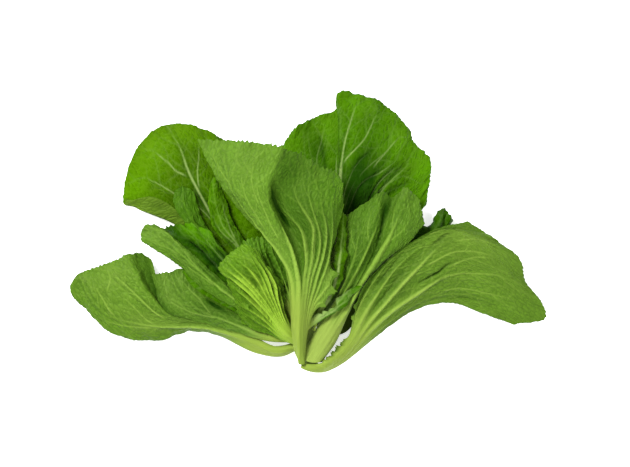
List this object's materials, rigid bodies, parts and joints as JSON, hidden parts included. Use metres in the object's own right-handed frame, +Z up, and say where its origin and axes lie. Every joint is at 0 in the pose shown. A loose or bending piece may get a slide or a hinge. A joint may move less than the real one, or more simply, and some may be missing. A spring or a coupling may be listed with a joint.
{
  "type": "mustard greens",
  "caption": "Fresh head of mustard greens on its side: pale thick stalks fan out from a short cut stem into broad, crinkled green leaves.",
  "frame": {"origin": "on the surface the head lies on, under the middle of the whole head's bounding box", "axes": "+Z up from the surface, +Y from the cut stem towards the leaf tips, +X to the right, along the head's widest spread, seen from above with the stem towards the viewer"},
  "size_m": [0.4752, 0.2802, 0.0594],
  "materials": {
    "leaf_face": "fresh leaf, upper face: bright green, semi-gloss, fine pale veins",
    "leaf_back": "fresh leaf, back: duller light green with raised pale green ribs and a pale green stalk",
    "stem": "pale green stem, smooth, with a moist cut end"
  },
  "bodies": {
    "root": {"stem_base": "stem", "back_left_leaf": "leaf_face", "back_right_leaf": "leaf_face", "dark_right_leaf": "leaf_face", "narrow_leaf": "leaf_face", "inner_left_leaf": "leaf_face", "crinkled_leaf": "leaf_face", "frilly_leaf": "leaf_face", "far_left_leaf": "leaf_back", "second_left_leaf": "leaf_back", "long_left_leaf": "leaf_back", "wrinkled_leaf": "leaf_back", "inner_right_leaf": "leaf_back", "right_leaf": "leaf_back", "small_front_leaf": "leaf_back", "centre_leaf": "leaf_back"}
  },
  "joints": []
}
